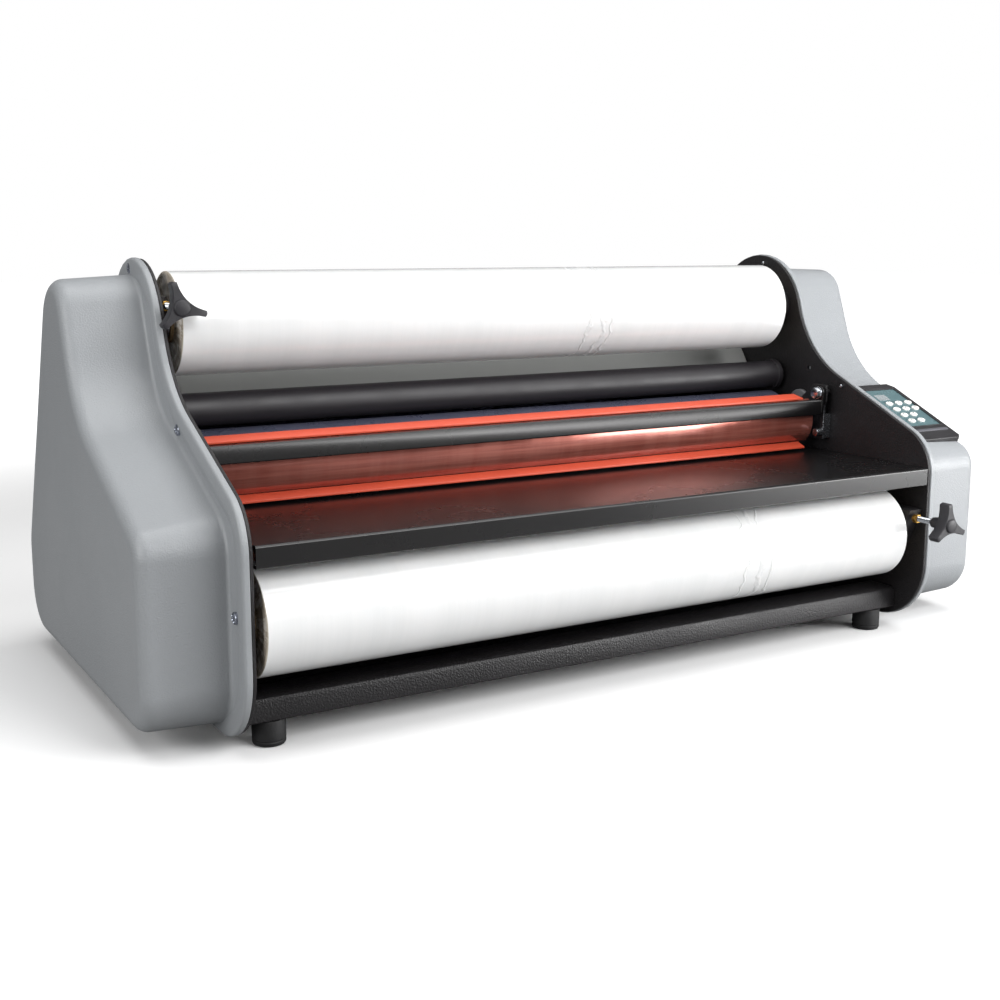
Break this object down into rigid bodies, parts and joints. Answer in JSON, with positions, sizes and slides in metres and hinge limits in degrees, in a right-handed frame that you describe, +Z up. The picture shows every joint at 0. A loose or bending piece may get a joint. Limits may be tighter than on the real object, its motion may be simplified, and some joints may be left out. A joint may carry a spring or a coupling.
{
  "type": "roll laminator",
  "caption": "Tabletop roll laminator: two film supply rolls, idler, heat shoes, nip and pull rollers and a feed table between end cabinets with a keypad on the right slope.",
  "frame": {"origin": "centre of the footprint, on the surface the rubber feet stand on", "axes": "+X along the rollers to the operator's right, +Y from the operator's side to the exit side, +Z up"},
  "size_m": [0.922, 0.5182, 0.3912],
  "materials": {
    "greyPlastic": "fine leather-grain texture, satin",
    "blackPaint": "textured powder coat",
    "blackGloss": "gloss enamel",
    "greyPaint": "satin powder coat",
    "film": "glossy wound film",
    "cardboard": "matt",
    "steel": "zinc plated",
    "darkSteel": "satin black",
    "rubber": "matt",
    "knobPlastic": "matt moulded",
    "copper": "non-stick coating, glossy",
    "orange": "silicone, satin",
    "buttonWhite": "satin",
    "boardGreen": "solder resist",
    "gearNylon": "moulded nylon"
  },
  "bodies": {
    "frame": {"side_plate_left": "blackPaint", "side_plate_right": "blackPaint", "front_rail": "blackPaint", "base_pan": "blackPaint", "upper_mandrel_bracket_left": "blackPaint", "upper_mandrel_bracket_right": "blackPaint", "lower_mandrel_bracket_left": "blackPaint", "lower_mandrel_bracket_right": "blackPaint", "panel_housing": "blackPaint", "heater_lead_bush": "greyPaint", "rear_hood": "greyPaint", "rear_panel": "greyPaint", "side_cover_left": "greyPlastic", "side_cover_right": "greyPlastic", "rubber_foot_front_left": "rubber", "rubber_foot_front_right": "rubber", "rubber_foot_rear_left": "rubber", "rubber_foot_rear_right": "rubber", "power_inlet": "rubber", "upper_tension_stud": "steel", "lower_tension_stud": "steel", "shoe_bracket_right": "steel", "shoe_bracket_left": "steel", "gear_motor": "darkSteel", "upper_heat_shoe": "copper", "lower_heat_shoe": "copper", "upper_shoe_top_strip": "orange", "upper_shoe_bottom_strip": "orange", "control_board": "boardGreen"},
    "upper_supply": {"upper_film_roll": "film", "upper_film_core": "cardboard", "upper_mandrel": "steel"},
    "lower_supply": {"lower_film_roll": "film", "lower_film_core": "cardboard", "lower_mandrel": "steel"},
    "upper_knob": {"upper_tension_knob": "knobPlastic"},
    "lower_knob": {"lower_tension_knob": "knobPlastic"},
    "idler": {"idler_roller": "darkSteel"},
    "lower_nip": {"lower_nip_roller": "rubber", "lower_nip_gear": "gearNylon"},
    "upper_nip": {"upper_nip_roller": "rubber", "upper_nip_gear": "gearNylon"},
    "transfer": {"transfer_gear": "gearNylon"},
    "lower_pull": {"lower_pull_roller": "rubber", "lower_pull_gear": "gearNylon"},
    "upper_pull": {"upper_pull_roller": "rubber"},
    "pinion": {"motor_pinion": "steel"},
    "guard": {"guard_bar": "blackGloss"},
    "table": {"feed_table": "blackGloss"},
    "switch_rocker": {"power_switch": "blackPaint"},
    "button_1": {"panel_button_1": "buttonWhite"},
    "button_2": {"panel_button_2": "buttonWhite"},
    "button_3": {"panel_button_3": "buttonWhite"},
    "button_4": {"panel_button_4": "buttonWhite"},
    "button_5": {"panel_button_5": "buttonWhite"},
    "button_6": {"panel_button_6": "buttonWhite"},
    "button_7": {"panel_button_7": "buttonWhite"},
    "button_8": {"panel_button_8": "buttonWhite"},
    "button_9": {"panel_button_9": "buttonWhite"},
    "button_10": {"panel_button_10": "buttonWhite"}
  },
  "joints": [
    {"name": "lower_nip_spin", "type": "hinge", "parent": "frame", "child": "lower_nip", "pos_m": [-0.02, 0.0081, 0.1472], "axis": [1, 0, 0], "continuous": true},
    {"name": "upper_nip_spin", "type": "hinge", "parent": "frame", "child": "upper_nip", "pos_m": [-0.02, 0.0081, 0.2075], "axis": [1, 0, 0], "continuous": true},
    {"name": "transfer_spin", "type": "hinge", "parent": "frame", "child": "transfer", "pos_m": [-0.02, 0.07325, 0.1472], "axis": [1, 0, 0], "continuous": true},
    {"name": "lower_pull_spin", "type": "hinge", "parent": "frame", "child": "lower_pull", "pos_m": [-0.02, 0.1384, 0.1471], "axis": [1, 0, 0], "continuous": true},
    {"name": "upper_pull_spin", "type": "hinge", "parent": "frame", "child": "upper_pull", "pos_m": [-0.02, 0.1384, 0.2076], "axis": [1, 0, 0], "continuous": true},
    {"name": "pinion_spin", "type": "hinge", "parent": "frame", "child": "pinion", "pos_m": [-0.02, 0.07325, 0.097], "axis": [1, 0, 0], "continuous": true},
    {"name": "upper_supply_spin", "type": "hinge", "parent": "frame", "child": "upper_supply", "pos_m": [-0.02, 0.0211, 0.333], "axis": [1, 0, 0], "continuous": true},
    {"name": "lower_supply_spin", "type": "hinge", "parent": "frame", "child": "lower_supply", "pos_m": [-0.02, -0.1739, 0.1087], "axis": [1, 0, 0], "continuous": true},
    {"name": "idler_spin", "type": "hinge", "parent": "frame", "child": "idler", "pos_m": [-0.02, 0.0181, 0.255], "axis": [1, 0, 0], "continuous": true},
    {"name": "upper_knob_turn", "type": "hinge", "parent": "frame", "child": "upper_knob", "pos_m": [-0.3779, -0.0269, 0.3495], "axis": [0, -1, 0], "continuous": true},
    {"name": "lower_knob_turn", "type": "hinge", "parent": "frame", "child": "lower_knob", "pos_m": [0.331, -0.2369, 0.1252], "axis": [0, -1, 0], "continuous": true},
    {"name": "guard_swing", "type": "hinge", "parent": "frame", "child": "guard", "pos_m": [-0.02, -0.0669, 0.2414], "axis": [-1, 0, 0], "range_deg": [0, 95]},
    {"name": "table_pull", "type": "slide", "parent": "frame", "child": "table", "axis": [0, -1, 0], "range_m": [0, 0.15]},
    {"name": "switch_rock", "type": "hinge", "parent": "frame", "child": "switch_rocker", "pos_m": [0.2675, 0.2441, 0.056], "axis": [-1, 0, 0], "range_deg": [0, 13]},
    {"name": "button_1_press", "type": "slide", "parent": "frame", "child": "button_1", "axis": [0, 0.4091, -0.9125], "range_m": [0, 0.0008], "stiffness_N_per_m": 500, "springref_m": -0.0005},
    {"name": "button_2_press", "type": "slide", "parent": "frame", "child": "button_2", "axis": [0, 0.4091, -0.9125], "range_m": [0, 0.0008], "stiffness_N_per_m": 500, "springref_m": -0.0005},
    {"name": "button_3_press", "type": "slide", "parent": "frame", "child": "button_3", "axis": [0, 0.4091, -0.9125], "range_m": [0, 0.0008], "stiffness_N_per_m": 500, "springref_m": -0.0005},
    {"name": "button_4_press", "type": "slide", "parent": "frame", "child": "button_4", "axis": [0, 0.4091, -0.9125], "range_m": [0, 0.0008], "stiffness_N_per_m": 500, "springref_m": -0.0005},
    {"name": "button_5_press", "type": "slide", "parent": "frame", "child": "button_5", "axis": [0, 0.4091, -0.9125], "range_m": [0, 0.0008], "stiffness_N_per_m": 500, "springref_m": -0.0005},
    {"name": "button_6_press", "type": "slide", "parent": "frame", "child": "button_6", "axis": [0, 0.4091, -0.9125], "range_m": [0, 0.0008], "stiffness_N_per_m": 500, "springref_m": -0.0005},
    {"name": "button_7_press", "type": "slide", "parent": "frame", "child": "button_7", "axis": [0, 0.4091, -0.9125], "range_m": [0, 0.0008], "stiffness_N_per_m": 500, "springref_m": -0.0005},
    {"name": "button_8_press", "type": "slide", "parent": "frame", "child": "button_8", "axis": [0, 0.4091, -0.9125], "range_m": [0, 0.0008], "stiffness_N_per_m": 500, "springref_m": -0.0005},
    {"name": "button_9_press", "type": "slide", "parent": "frame", "child": "button_9", "axis": [0, 0.4091, -0.9125], "range_m": [0, 0.0008], "stiffness_N_per_m": 500, "springref_m": -0.0005},
    {"name": "button_10_press", "type": "slide", "parent": "frame", "child": "button_10", "axis": [0, 0.4091, -0.9125], "range_m": [0, 0.0008], "stiffness_N_per_m": 500, "springref_m": -0.0005}
  ],
  "couplings": [
    {"joint": "upper_nip_spin", "follows": "lower_nip_spin", "ratio": -1},
    {"joint": "transfer_spin", "follows": "lower_nip_spin", "ratio": -0.85714},
    {"joint": "lower_pull_spin", "follows": "lower_nip_spin", "ratio": 1},
    {"joint": "upper_pull_spin", "follows": "lower_nip_spin", "ratio": -1},
    {"joint": "pinion_spin", "follows": "lower_nip_spin", "ratio": 2}
  ]
}
